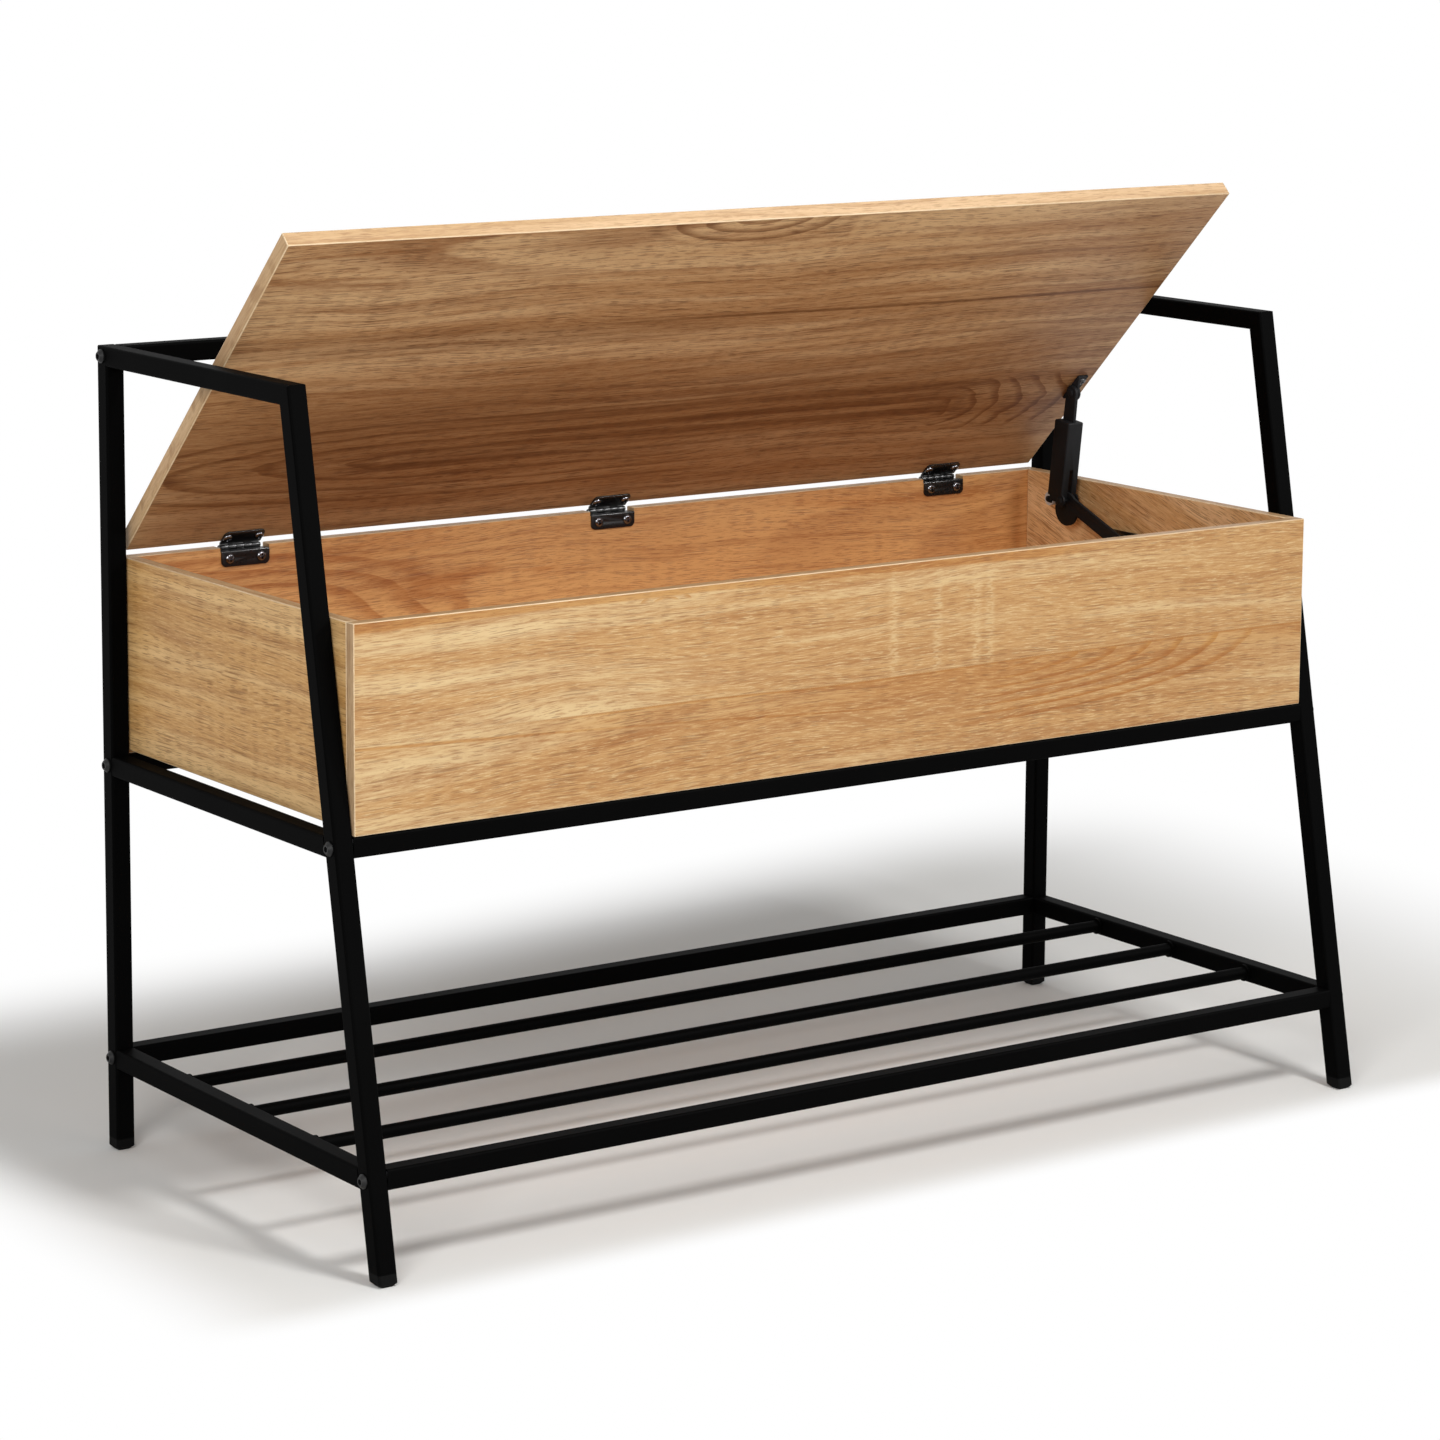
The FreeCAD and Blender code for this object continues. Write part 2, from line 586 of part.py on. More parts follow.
def make_stay():
    make_housing()

    outline = [Vec(upper_left, lid_pivot.y - upper_arm_half_width, lid_pivot.z),
               Vec(upper_left, lid_pivot.y + upper_arm_half_width, lid_pivot.z),
               Vec(upper_left, lid_pivot.y + upper_arm_root_half_width, lid_pivot.z + housing_top),
               Vec(upper_left, lid_pivot.y + upper_arm_root_half_width, lid_pivot.z + upper_arm_end),
               Vec(upper_left, lid_pivot.y - upper_arm_root_half_width, lid_pivot.z + upper_arm_end),
               Vec(upper_left, lid_pivot.y - upper_arm_root_half_width, lid_pivot.z + housing_top)]
    bar = Part.Face(Part.makePolygon(outline + outline[:1])).extrude(AXIS_X * upper_arm_thickness)
    bar = bar.fuse(link_bar(upper_left, upper_right, (0, 0), upper_arm_half_width))
    bar = bar.cut(link_bar(upper_left, upper_right, (0, 0), rivet_radius + running_gap))
    save("stay_upper_arm", leaned(bar))

    # The lower arm's head is a round cam that hangs below the elbow. The roller runs in a hollow in the
    # cam's back, and the horn under the hollow stops the roller when the lid is up
    run = base_pivot - elbow
    strip = block(arm_left, arm_right, -arm_width / 2, arm_width / 2, 0, run.Length)
    strip = strip.rotated(Vec(0, 0, 0), AXIS_X, math.degrees(math.atan2(-run.y, run.z)))
    strip.translate(elbow)
    arm = strip.fuse([round_bar(arm_left, arm_right, elbow.y, elbow.z - cam_drop, cam_radius),
                      round_bar(arm_left, arm_right, base_pivot.y, base_pivot.z, arm_end_radius),
                      round_bar(arm_left, arm_right, elbow.y, elbow.z, arm_width / 2)])
    reach = roller_radius + roller_clearance
    hollow = round_bar(arm_left, arm_right, elbow.y, elbow.z, roller_offset + reach)
    hollow = hollow.cut(round_bar(arm_left, arm_right, elbow.y, elbow.z, roller_offset - reach))
    behind = block(arm_left, arm_right, elbow.y, elbow.y + 2 * roller_offset,
                   elbow.z, elbow.z + 2 * roller_offset)
    rest = round_bar(arm_left, arm_right, roller_centre.y, roller_centre.z, reach)
    arm = arm.cut([hollow.common(behind), rest,
                   round_bar(arm_left, arm_right, elbow.y, elbow.z, rivet_radius + running_gap),
                   round_bar(arm_left, arm_right, base_pivot.y, base_pivot.z, rivet_radius)])
    save("stay_lower_arm", arm)
    save("stay_elbow_rivet", rivet(rivet_radius, cheek_left, cheek_right, elbow.y, elbow.z))

    y, z = roller_centre.y, roller_centre.z
    roller = round_bar(stay_x - roller_width / 2, stay_x + roller_width / 2, y, z, roller_radius)
    bore = round_bar(cheek_left, cheek_right, y, z, roller_pin_radius + running_gap)
    save("stay_roller", roller.cut(bore))
    save("stay_roller_pin", round_bar(cheek_left - 0.6, cheek_right + 0.6, y, z, roller_pin_radius))

    # The base bracket folds under, from the plate on the side board to a tab beside the arm
    wall_x = box_half - board
    tab_x = arm_right + side_gap
    low = base_pivot_height - base_plate_height / 2 - 4
    tab_front = base_pivot.y - arm_end_radius - 1
    tab_back = base_pivot.y + arm_end_radius + 1
    bracket = block(wall_x - plate, wall_x, rear_y - base_plate_front, rear_y - base_plate_back,
                    low, low + base_plate_height)
    tab = block(tab_x, tab_x + plate, tab_front, tab_back, low, base_pivot.z)
    shelf = block(tab_x, wall_x, tab_front, tab_back, low, low + plate)
    crown = round_bar(tab_x, tab_x + plate, base_pivot.y, base_pivot.z, arm_end_radius + 1)
    bracket = bracket.fuse([tab, shelf, crown])
    hole = round_bar(tab_x, tab_x + plate, base_pivot.y, base_pivot.z, rivet_radius)
    holes = [hole]
    for hole_y, hole_z in base_screw_places():
        holes.append(round_bar(wall_x - plate, wall_x, hole_y, hole_z, screw_radius))
    save("stay_base_bracket", bracket.cut(holes))

    # The base pivot's rivet is in two halves, one on the bracket's tab and one on the arm
    head = low_head(rivet_head_radius, rivet_head_rise)
    tail_seat = Vec(tab_x + plate, base_pivot.y, base_pivot.z)
    nose_seat = Vec(arm_left, base_pivot.y, base_pivot.z)
    save("stay_base_rivet", placed(head.fuse(shank(rivet_radius, plate)), tail_seat, AXIS_X))
    save("stay_arm_rivet", placed(head.fuse(shank(rivet_radius, arm_thickness)), nose_seat, -AXIS_X))

    # The lid bracket: a plate on the lid's underside and a web that hangs beside the upper arm
    web_x = upper_right + side_gap
    y, z = closed_lid_pivot.y, closed_lid_pivot.z
    web_outline = [Vec(web_x, y - bracket_length / 2, lid_under),
                   Vec(web_x, y + bracket_length / 2, lid_under),
                   Vec(web_x, y + bracket_length / 2, lid_under - plate),
                   Vec(web_x, y + upper_arm_half_width, z),
                   Vec(web_x, y - upper_arm_half_width, z),
                   Vec(web_x, y - bracket_length / 2, lid_under - plate)]
    web = Part.Face(Part.makePolygon(web_outline + web_outline[:1])).extrude(AXIS_X * plate)
    flange = block(web_x, web_x + bracket_reach, y - bracket_length / 2, y + bracket_length / 2,
                   lid_under - plate, lid_under)
    bracket = web.fuse([flange, round_bar(web_x, web_x + plate, y, z, upper_arm_half_width)])
    bracket = bracket.cut([round_bar(web_x, web_x + plate, y, z, rivet_radius)] + lid_bracket_screws())
    save("stay_lid_bracket", opened(bracket))
    grip_start = upper_left - side_gap
    save("stay_lid_rivet", rivet(rivet_radius, grip_start, web_x + plate, lid_pivot.y, lid_pivot.z))
    save("stay_lid_screws", opened(Part.makeCompound(lid_bracket_screws())))


os.makedirs("parts", exist_ok=True)
make_frame()
make_shelf()
make_box()
make_hinges()
make_lid()
make_stay()
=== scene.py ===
import json
import math

import bmesh
import bpy
from mathutils import Matrix, Vector


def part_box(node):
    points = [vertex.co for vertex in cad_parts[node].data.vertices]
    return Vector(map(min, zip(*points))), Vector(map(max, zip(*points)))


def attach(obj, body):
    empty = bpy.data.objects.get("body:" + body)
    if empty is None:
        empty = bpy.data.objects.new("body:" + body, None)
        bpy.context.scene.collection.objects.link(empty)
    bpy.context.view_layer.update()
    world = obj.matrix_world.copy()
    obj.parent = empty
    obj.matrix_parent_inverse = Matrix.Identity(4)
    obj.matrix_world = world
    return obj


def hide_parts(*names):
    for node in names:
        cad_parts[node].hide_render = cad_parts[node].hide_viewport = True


# A shoe storage bench: black steel tube, oak-print boards, black hinges and a folding lid stay.
# Metres. +X is to the right of somebody who faces the bench, +Y to its back and +Z up.

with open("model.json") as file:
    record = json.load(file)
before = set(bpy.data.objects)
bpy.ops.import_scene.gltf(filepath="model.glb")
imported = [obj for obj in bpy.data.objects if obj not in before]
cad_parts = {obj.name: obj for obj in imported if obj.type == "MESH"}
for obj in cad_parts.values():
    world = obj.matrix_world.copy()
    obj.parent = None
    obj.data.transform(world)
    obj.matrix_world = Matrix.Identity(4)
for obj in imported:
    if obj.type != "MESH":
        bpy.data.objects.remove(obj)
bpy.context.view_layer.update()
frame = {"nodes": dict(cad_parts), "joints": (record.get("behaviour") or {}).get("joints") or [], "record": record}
nodes = frame["nodes"]

X_AXIS = Vector((1, 0, 0))
Y_AXIS = Vector((0, 1, 0))
UP = Vector((0, 0, 1))
QUARTER = math.pi / 2

# The lid swings about the hinge pins and rests open
LID_ANGLE = math.radians(45.0)
LID_AXIS = Vector(next(joint for joint in frame["joints"] if joint["name"] == "lid_hinge")["pos_m"])
LID_SWING = Matrix.Rotation(-LID_ANGLE, 3, "X")


def screen(red, green, blue):
    """A colour given in screen values from 0 to 255, as the linear colour that shaders take."""
    linear = []
    for value in (red, green, blue):
        share = value / 255
        linear.append(share / 12.92 if share <= 0.04045 else ((share + 0.055) / 1.055) ** 2.4)
    return (*linear, 1.0)


# Node trees


class Graph:
    """A node tree with short ways to add and wire its nodes. A plain number or colour sets a socket."""

    def __init__(self, tree):
        self.tree = tree

    def feed(self, socket, value):
        if isinstance(value, bpy.types.NodeSocket):
            self.tree.links.new(value, socket)
        else:
            socket.default_value = value

    def node(self, kind, **settings):
        made = self.tree.nodes.new(kind)
        for name, value in settings.items():
            setattr(made, name, value)
        return made

    def math(self, operation, first, second=0.0, third=0.0):
        made = self.node("ShaderNodeMath", operation=operation)
        for socket, value in zip(made.inputs, (first, second, third)):
            self.feed(socket, value)
        return made.outputs[0]

    def vector(self, operation, first, second):
        made = self.node("ShaderNodeVectorMath", operation=operation)
        self.feed(made.inputs[0], first)
        self.feed(made.inputs[1], second)
        return made.outputs[0]

    def mapped(self, vector, place=(0, 0, 0), turn=(0, 0, 0), scale=(1, 1, 1)):
        made = self.node("ShaderNodeMapping")
        self.feed(made.inputs["Vector"], vector)
        self.feed(made.inputs["Location"], place)
        self.feed(made.inputs["Rotation"], turn)
        self.feed(made.inputs["Scale"], scale)
        return made.outputs[0]

    def noise(self, vector, scale, detail=2.0, roughness=0.5, distortion=0.0, place=(0, 0, 0)):
        """Noise from 0 to 1 whose cells are stretched by a scale for each axis."""
        made = self.node("ShaderNodeTexNoise")
        self.feed(made.inputs["Vector"], self.mapped(vector, place=place, scale=scale))
        self.feed(made.inputs["Scale"], 1.0)
        self.feed(made.inputs["Detail"], detail)
        self.feed(made.inputs["Roughness"], roughness)
        self.feed(made.inputs["Distortion"], distortion)
        return made.outputs[0]

    def dashes(self, vector, scale, size, place=(0, 0, 0)):
        """Short strokes, one in each cell of a stretched net, and a random number for each."""
        made = self.node("ShaderNodeTexVoronoi", voronoi_dimensions="2D")
        self.feed(made.inputs["Vector"], self.mapped(vector, place=place, scale=scale))
        self.feed(made.inputs["Scale"], 1.0)
        stroke = self.fade(made.outputs["Distance"], size * 0.45, size, 1.0, 0.0)
        return stroke, self.split(made.outputs["Color"])[0]

    def fade(self, value, low, high, start=0.0, end=1.0):
        """A smooth step from start to end as the value goes from low to high."""
        made = self.node("ShaderNodeMapRange", interpolation_type="SMOOTHSTEP")
        for name, given in (("Value", value), ("From Min", low), ("From Max", high),
                            ("To Min", start), ("To Max", end)):
            self.feed(made.inputs[name], given)
        return made.outputs[0]

    def mix(self, share, first, second, blend="MIX"):
        made = self.node("ShaderNodeMix", data_type="RGBA", blend_type=blend)
        self.feed(made.inputs[0], share)
        self.feed(made.inputs[6], first)
        self.feed(made.inputs[7], second)
        return made.outputs[2]

    def split(self, vector):
        made = self.node("ShaderNodeSeparateXYZ")
        self.feed(made.inputs[0], vector)
        return made.outputs

    def join(self, x, y, z):
        made = self.node("ShaderNodeCombineXYZ")
        for socket, value in zip(made.inputs, (x, y, z)):
            self.feed(socket, value)
        return made.outputs[0]


def new_group(name, inputs, outputs):
    """An empty shader node group with named sockets, and the graph that fills it."""
    tree = bpy.data.node_groups.new(name, "ShaderNodeTree")
    for socket, kind in inputs:
        tree.interface.new_socket(socket, in_out="INPUT", socket_type="NodeSocket" + kind)
    for socket, kind in outputs:
        tree.interface.new_socket(socket, in_out="OUTPUT", socket_type="NodeSocket" + kind)
    graph = Graph(tree)
    return tree, graph, graph.node("NodeGroupInput").outputs, graph.node("NodeGroupOutput").inputs


def make_oak_print():
    """Printed oak. The vector runs along the grain on X and across it on Y."""
    tree, g, given, out = new_group(
        "oak_print",
        [("Vector", "Vector"), ("Pale", "Color"), ("Tan", "Color"), ("Brown", "Color"), ("Pore", "Color"),
         ("Stain", "Color"), ("Shade", "Float"), ("Bleach", "Float"), ("Strip", "Float"), ("Figure", "Float"),
         ("Rings", "Float"), ("Pores", "Float"), ("Flecks", "Float")],
        [("Color", "Color"), ("Roughness", "Float"), ("Height", "Float")])
    at = given["Vector"]
    sway = g.math("SUBTRACT", g.noise(at, (1.5, 7.0, 7.0)), 0.5)
    ripple = g.math("SUBTRACT", g.noise(at, (7.0, 26.0, 26.0)), 0.5)
    shift = g.math("ADD", g.math("MULTIPLY", sway, 0.045), g.math("MULTIPLY", ripple, 0.004))

    # The print is laid out in strips, and the pattern breaks where one strip meets the next
    strip = given["Strip"]
    moved = g.join(g.math("MULTIPLY", strip, 2.37), shift, g.math("MULTIPLY", strip, 0.71))
    bent = g.vector("ADD", at, moved)

    # Broad tone, then growth rings as the contour lines of a long smooth field
    broad = g.math("MULTIPLY", g.noise(bent, (0.9, 15.0, 15.0), detail=2.0), 0.5)
    broad = g.math("ADD", broad, g.math("MULTIPLY", g.noise(bent, (3.0, 60.0, 60.0), detail=3.0), 0.5))
    field = g.noise(bent, (1.0, 8.0, 8.0), detail=0.0, place=(3.1, 0.4, 1.7))
    ring = g.math("FRACT", g.math("MULTIPLY", field, given["Rings"]))
    late = g.math("MULTIPLY", g.fade(ring, 0.1, 0.86), g.fade(ring, 0.88, 1.0, 1.0, 0.0))
    shown = g.fade(g.noise(bent, (1.5, 8.0, 8.0), detail=1.0, place=(7.3, 2.2, 0.9)), 0.42, 0.62, 0.05, 1.0)
    late = g.math("MULTIPLY", g.math("MULTIPLY", late, shown), given["Figure"])

    # Fine marks waver a little about the grain
    waver = g.math("SUBTRACT", g.noise(at, (5.0, 13.0, 13.0), detail=1.0, place=(5.0, 3.0, 1.0)), 0.5)
    comb = g.vector("ADD", bent, g.join(0.0, g.math("MULTIPLY", waver, 0.016), 0.0))
    streak = g.noise(comb, (6.0, 170.0, 170.0), detail=4.0, roughness=0.62, place=(1.2, 5.5, 3.3))
    fibre = g.noise(comb, (75.0, 1050.0, 1050.0), detail=3.0, roughness=0.72)
    crowd = g.noise(bent, (5.0, 30.0, 30.0), detail=2.0, place=(4.7, 0.3, 8.8))
    stroke, chance = g.dashes(comb, (62.0, 820.0, 820.0), 0.36, place=(2.0, 9.1, 4.4))
    pore = g.math("MULTIPLY", stroke, g.fade(g.math("ADD", chance, crowd), 1.08, 1.35))
    stroke, chance = g.dashes(comb, (19.0, 520.0, 520.0), 0.33, place=(6.1, 4.0, 2.5))
    crack = g.math("MULTIPLY", stroke, g.fade(g.math("ADD", chance, crowd), 1.15, 1.4))
    pore = g.math("MAXIMUM", pore, crack)

    colour = g.mix(g.fade(broad, 0.42, 0.57), given["Pale"], given["Tan"])
    colour = g.mix(g.fade(streak, 0.45, 0.7, 0.0, 0.55), colour, given["Brown"])
    colour = g.mix(late, colour, given["Brown"])
    colour = g.mix(g.fade(fibre, 0.52, 0.62, 0.0, 0.5), colour, given["Brown"])
    colour = g.mix(g.math("MULTIPLY", g.fade(fibre, 0.48, 0.34), given["Flecks"]), colour, given["Pale"])
    colour = g.mix(given["Bleach"], colour, given["Pale"])
    colour = g.mix(given["Shade"], colour, given["Stain"], blend="MULTIPLY")
    colour = g.mix(g.math("MULTIPLY", pore, given["Pores"]), colour, given["Pore"])
    g.feed(out["Color"], colour)
    g.feed(out["Roughness"], g.math("ADD", g.math("MULTIPLY", fibre, 0.16), g.math("MULTIPLY", pore, 0.1)))
    g.feed(out["Height"], g.math("SUBTRACT", g.math("MULTIPLY", fibre, 0.5), pore))
    return tree


def make_coat_grain():
    """Fine orange peel and faint handling marks of a painted or moulded black surface."""
    tree, g, given, out = new_group(
        "coat_grain",
        [("Vector", "Vector"), ("Scale", "Float"), ("Deep", "Color"), ("Worn", "Color")],
        [("Color", "Color"), ("Roughness", "Float"), ("Height", "Float")])
    size = g.vector("MULTIPLY", given["Vector"], g.join(given["Scale"], given["Scale"], given["Scale"]))
    peel = g.noise(size, (1.0, 1.0, 1.0), detail=2.0, roughness=0.55)
    cloud = g.noise(given["Vector"], (9.0, 9.0, 9.0), detail=3.0, place=(1.0, 2.0, 3.0))
    scuff = g.noise(given["Vector"], (160.0, 40.0, 90.0), detail=3.0, roughness=0.7, place=(0.2, 0.6, 0.4))
    worn = g.math("ADD", g.fade(cloud, 0.4, 0.75, 0.0, 0.5), g.fade(scuff, 0.66, 0.8, 0.0, 0.5))
    g.feed(out["Color"], g.mix(worn, given["Deep"], given["Worn"]))
    g.feed(out["Roughness"], g.math("ADD", g.math("MULTIPLY", peel, 0.12), g.math("MULTIPLY", cloud, 0.16)))
    g.feed(out["Height"], peel)
    return tree


oak_print = make_oak_print()
coat_grain = make_coat_grain()


def new_material(name):
    """A material with its graph, its shader and the piece's own coordinates."""
    material = bpy.data.materials.new(name)
    material.use_nodes = True
    tree = material.node_tree
    shader = tree.nodes["Principled BSDF"]
    graph = Graph(tree)
    return material, graph, shader, graph.node("ShaderNodeTexCoord").outputs["Object"]


def finish_surface(g, shader, group, low_roughness, bump, reach):
    """Wires a group's colour, roughness and height to a shader."""
    g.feed(shader.inputs["Base Color"], group.outputs["Color"])
    g.feed(shader.inputs["Roughness"], g.math("ADD", group.outputs["Roughness"], low_roughness))
    relief = g.node("ShaderNodeBump")
    g.feed(relief.inputs["Strength"], bump)
    g.feed(relief.inputs["Distance"], reach)
    g.feed(relief.inputs["Height"], group.outputs["Height"])
    g.feed(shader.inputs["Normal"], relief.outputs["Normal"])


# Figure of a board, drawn on its flat coordinates


def band(g, value, middle, half, soft):
    """One inside a band of a value and zero outside it."""
    away = g.math("ABSOLUTE", g.math("SUBTRACT", value, middle))
    return g.fade(away, half, half + soft, 1.0, 0.0)


def between(g, value, low, high, soft):
    """One from a low to a high value, with soft ends outside them."""
    return g.math("MULTIPLY", g.fade(value, low - soft, low), g.fade(value, high, high + soft, 1.0, 0.0))


def product(g, *factors):
    """All the factors multiplied."""
    whole = factors[0]
    for factor in factors[1:]:
        whole = g.math("MULTIPLY", whole, factor)
    return whole


def strongest(g, *masks):
    """The largest of the masks at each point."""
    whole = masks[0]
    for mask in masks[1:]:
        whole = g.math("MAXIMUM", whole, mask)
    return whole


def stirred(g, flat, value, scale, reach):
    """A value that wanders to both sides by up to half of the reach."""
    wander = g.math("SUBTRACT", g.noise(flat, scale, detail=2.0), 0.5)
    return g.math("ADD", value, g.math("MULTIPLY", wander, reach))


def measured_from(g, along, across, point):
    """Two flat coordinates as distances from a point of the board."""
    return g.math("SUBTRACT", along, point[0]), g.math("SUBTRACT", across, point[1])


def arches(g, flat, along, across, spread, wander):
    """Nested arches of dark late wood and the number of the arch at each point, counted from the middle.

    The spread is how far one arch lies outside the one before it, along and across the grain."""
    out = g.join(g.math("DIVIDE", along, spread[0]), g.math("DIVIDE", across, spread[1]), 0.0)
    length = g.node("ShaderNodeVectorMath", operation="LENGTH")
    g.feed(length.inputs[0], out)
    number = stirred(g, flat, length.outputs["Value"], (9.0, 45.0, 45.0), wander)
    ring = g.math("FRACT", number)
    return g.math("MULTIPLY", g.fade(ring, 0.3, 0.9), g.fade(ring, 0.92, 1.0, 1.0, 0.0)), number


# Places of the box boards' figure: metres from the middle of the bench, and up from the floor
FRONT_TOP_STRIP = 0.4438
FRONT_FLAME = (-0.176, 0.443)
FRONT_SEAM = 0.3685
FRONT_BOW = (0.1, 0.3715)
FRONT_SAW_CUTS = (0.0286, 0.0694, 0.1063, 0.119)
REAR_ARCHES = (-0.36, 0.382)

# Place of the hinged edge across the grain, in the lid's flat coordinates
LID_HINGED_EDGE = -0.185

# Places of the lid's figure: metres from the middle of the bench, and from the hinged edge
LID_STREAK = 0.2345
LID_SECOND_STREAK = 0.29
LID_CONE = (-0.2, 0.083)
LID_FLAMES = (0.27, 0.092)
LID_CROWN = (-0.028, 0.352)


def front_marks(g, flat):
    """A dark top strip, a seam with a darker strip under it, arches low on the right, and saw marks above."""
    u, v = g.split(flat)[:2]
    edge = stirred(g, flat, v, (5.0, 30.0, 30.0), 0.008)
    raised = g.fade(edge, FRONT_TOP_STRIP, FRONT_TOP_STRIP + 0.0024)
    top = product(g, raised, g.fade(u, 0.16, 0.3, 1.0, 0.0), 0.8)
    along, across = measured_from(g, u, v, FRONT_FLAME)
    flame, number = arches(g, flat, along, across, (0.011, 0.0035), 0.5)
    flame = product(g, flame, g.fade(number, 1.8, 3.2, 1.0, 0.0), g.fade(v, 0.4425, 0.4455), 0.8)

    below = g.math("SUBTRACT", g.math("ADD", g.math("MULTIPLY", u, 0.004), FRONT_SEAM),
                   stirred(g, flat, v, (3.0, 9.0, 9.0), 0.008))
    under = g.fade(below, -0.0006, 0.0006)
    started = g.fade(u, -0.36, -0.2)
    low = product(g, under, started, g.fade(below, 0.004, 0.036, 0.56, 0.1))
    second = g.math("ADD", below, g.math("ADD", g.math("MULTIPLY", u, -0.042), -0.0215))
    line = product(g, band(g, second, 0.0, 0.0003, 0.0016), g.fade(u, 0.0, 0.08, 1.0, 0.0), 0.75)
    seam = product(g, band(g, below, 0.0008, 0.0003, 0.0014), started, 0.85)

    along, across = measured_from(g, u, v, FRONT_BOW)
    lines, number = arches(g, flat, g.math("MAXIMUM", along, 0.0), across, (0.036, 0.006), 0.5)
    zone = product(g, under, g.fade(u, 0.03, 0.16), between(g, number, 2.2, 7.5, 1.6))
    bow = product(g, lines, zone, 0.95)

    teeth = strongest(g, *[band(g, u, place, 0.0008, 0.006) for place in FRONT_SAW_CUTS])
    cut = g.fade(g.noise(flat, (160.0, 700.0, 700.0), detail=2.0, place=(1.0, 4.0, 2.0)), 0.42, 0.58)
    saw = product(g, teeth, cut, between(g, v, 0.375, 0.436, 0.014), 0.55)
    return {"Shade": strongest(g, top, flame, low, line, seam, bow), "Bleach": saw, "Strip": under}


def inside_marks(g, flat):
    """The rear board's arches at the left, which run out into dark smudges, and a warm band to the right."""
    u, v = g.split(flat)[:2]
    along, across = measured_from(g, u, v, REAR_ARCHES)
    lines, number = arches(g, flat, g.math("MAXIMUM", along, 0.0), across, (0.038, 0.0105), 0.9)
    zone = product(g, between(g, number, 1.0, 5.6, 1.2), g.fade(u, -0.05, 0.05, 1.0, 0.0))
    smudge = g.fade(g.noise(flat, (9.0, 60.0, 60.0), detail=3.0, place=(3.0, 1.0, 5.0)), 0.5, 0.68)
    smudge = product(g, smudge, between(g, u, -0.2, -0.06, 0.06), between(g, v, 0.4, 0.43, 0.012), 0.7)
    warm = product(g, between(g, stirred(g, flat, v, (2.0, 9.0, 9.0), 0.03), 0.39, 0.425, 0.02),
                   g.fade(u, -0.12, 0.05), 0.22)
    return {"Shade": strongest(g, product(g, lines, zone, 0.62), smudge, warm)}


def lid_marks(g, flat):
    """A red streak along the lid, a dark heart whose arches close at the left, and flames at the right."""
    u, v = g.split(flat)[:2]
    far = g.math("SUBTRACT", LID_HINGED_EDGE, v)
    away = stirred(g, flat, far, (1.7, 6.0, 6.0), 0.014)
    streak = product(g, band(g, away, LID_STREAK, 0.0005, 0.0024), g.fade(u, -0.2, 0.02, 0.25, 0.75))
    blush = product(g, between(g, away, 0.222, LID_STREAK, 0.012), g.fade(u, -0.05, 0.1, 0.3, 0.1))
    second = product(g, band(g, away, LID_SECOND_STREAK, 0.0008, 0.004), g.fade(u, 0.05, 0.25, 0.0, 0.35))

    grain = g.fade(g.noise(flat, (1.6, 85.0, 85.0), detail=3.0), 0.36, 0.6, 0.3, 1.0)
    length = product(g, g.fade(u, -0.34, -0.22), g.fade(u, 0.27, 0.36, 1.0, 0.2), 0.85)
    heart = product(g, between(g, away, 0.074, 0.118, 0.02), grain, length)
    veil = g.fade(far, 0.13, 0.2, 0.38, 0.0)
    foot = product(g, g.fade(away, 0.066, 0.07, 1.0, 0.0), 0.12)
    end = g.fade(u, 0.24, 0.38, 0.0, 0.25)

    along, across = measured_from(g, u, away, LID_CONE)
    lines, number = arches(g, flat, g.math("MINIMUM", along, 0.0), across, (0.078, 0.012), 0.7)
    cone = product(g, lines, g.fade(u, 0.0, 0.2, 1.0, 0.0), between(g, number, 0.8, 4.2, 1.4), 0.8)

    along, across = measured_from(g, u, far, LID_FLAMES)
    wave = stirred(g, flat, across, (16.0, 16.0, 16.0), 0.05)
    lines = arches(g, flat, g.math("MAXIMUM", along, 0.0), wave, (0.024, 0.011), 1.2)[0]
    flame = product(g, lines, between(g, u, 0.29, 0.41, 0.03), between(g, far, 0.066, 0.122, 0.012), 0.85)

    along, across = measured_from(g, u, far, LID_CROWN)
    lines, number = arches(g, flat, along, across, (0.026, 0.0095), 0.5)
    crown = product(g, lines, between(g, number, 0.6, 3.4, 0.6), 0.7)
    return {"Shade": strongest(g, streak, blush, second, heart, veil, foot, end, cone, flame, crown)}


# Materials


def oak(name, colours, turn, place=(0, 0, 0), figure=0.5, rings=13.0, pores=0.6, flecks=0.4, marks=None):
    """An oak-print material. The turn brings the grain onto X, and the place picks another part of the print.

    The marks, if given, make masks of the board's own figure from its flat coordinates."""
    material, g, shader, at = new_material(name)
    flat = g.mapped(at, turn=turn)
    group = g.node("ShaderNodeGroup", node_tree=oak_print)
    g.feed(group.inputs["Vector"], g.vector("ADD", flat, place))
    for socket, colour in zip(("Pale", "Tan", "Brown", "Pore", "Stain"), colours):
        g.feed(group.inputs[socket], screen(*colour))
    for socket, value in (("Figure", figure), ("Rings", rings), ("Pores", pores), ("Flecks", flecks)):
        g.feed(group.inputs[socket], value)
    if marks:
        for socket, mask in marks(g, flat).items():
            g.feed(group.inputs[socket], mask)
    finish_surface(g, shader, group, 0.4, 0.3, 0.0003)
    g.feed(shader.inputs["Specular IOR Level"], 0.3)
    return material


